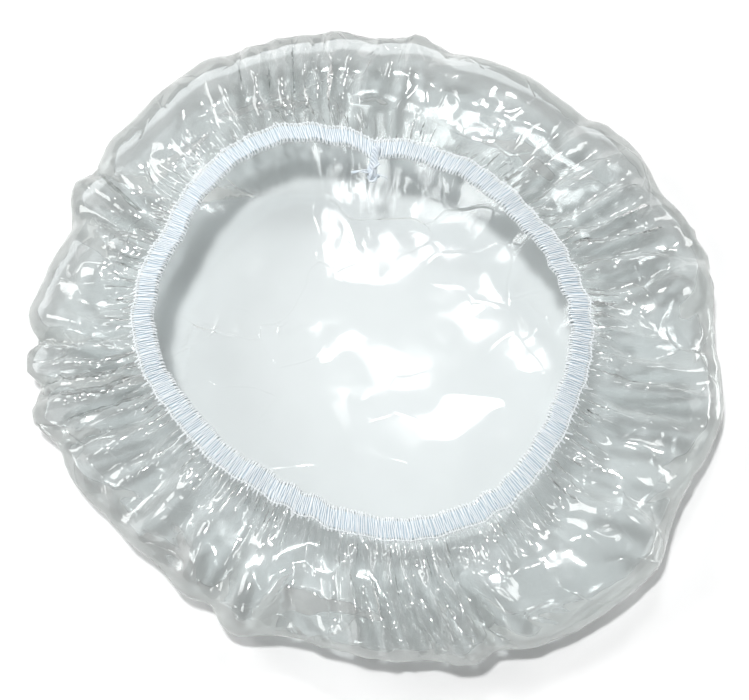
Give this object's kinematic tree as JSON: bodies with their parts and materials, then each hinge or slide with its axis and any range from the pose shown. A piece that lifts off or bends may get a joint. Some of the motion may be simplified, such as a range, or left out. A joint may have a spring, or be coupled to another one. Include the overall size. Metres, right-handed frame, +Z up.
{
  "type": "film hair cap",
  "caption": "Clear film hair cap with a gathered skirt and a sewn elastic rim, lying on its crown with the opening facing up.",
  "frame": {"origin": "on the surface the cap lies on, below the middle of its bounding box", "axes": "+Z up out of the opening, X and Y level, with the seam's knotted tail on the +Y side of the opening"},
  "size_m": [0.25, 0.246, 0.037],
  "materials": {
    "clear_film": "clear soft vinyl film, glossy, crumpled and creased",
    "elastic_braid": "white braided elastic, matt",
    "sewing_thread": "white textured polyester sewing thread, slightly blue, matt"
  },
  "bodies": {
    "root": {"film": "clear_film", "elastic": "elastic_braid", "needle_thread": "sewing_thread", "upper_looper_thread": "sewing_thread", "lower_looper_thread": "sewing_thread", "thread_chain": "sewing_thread"}
  },
  "joints": []
}
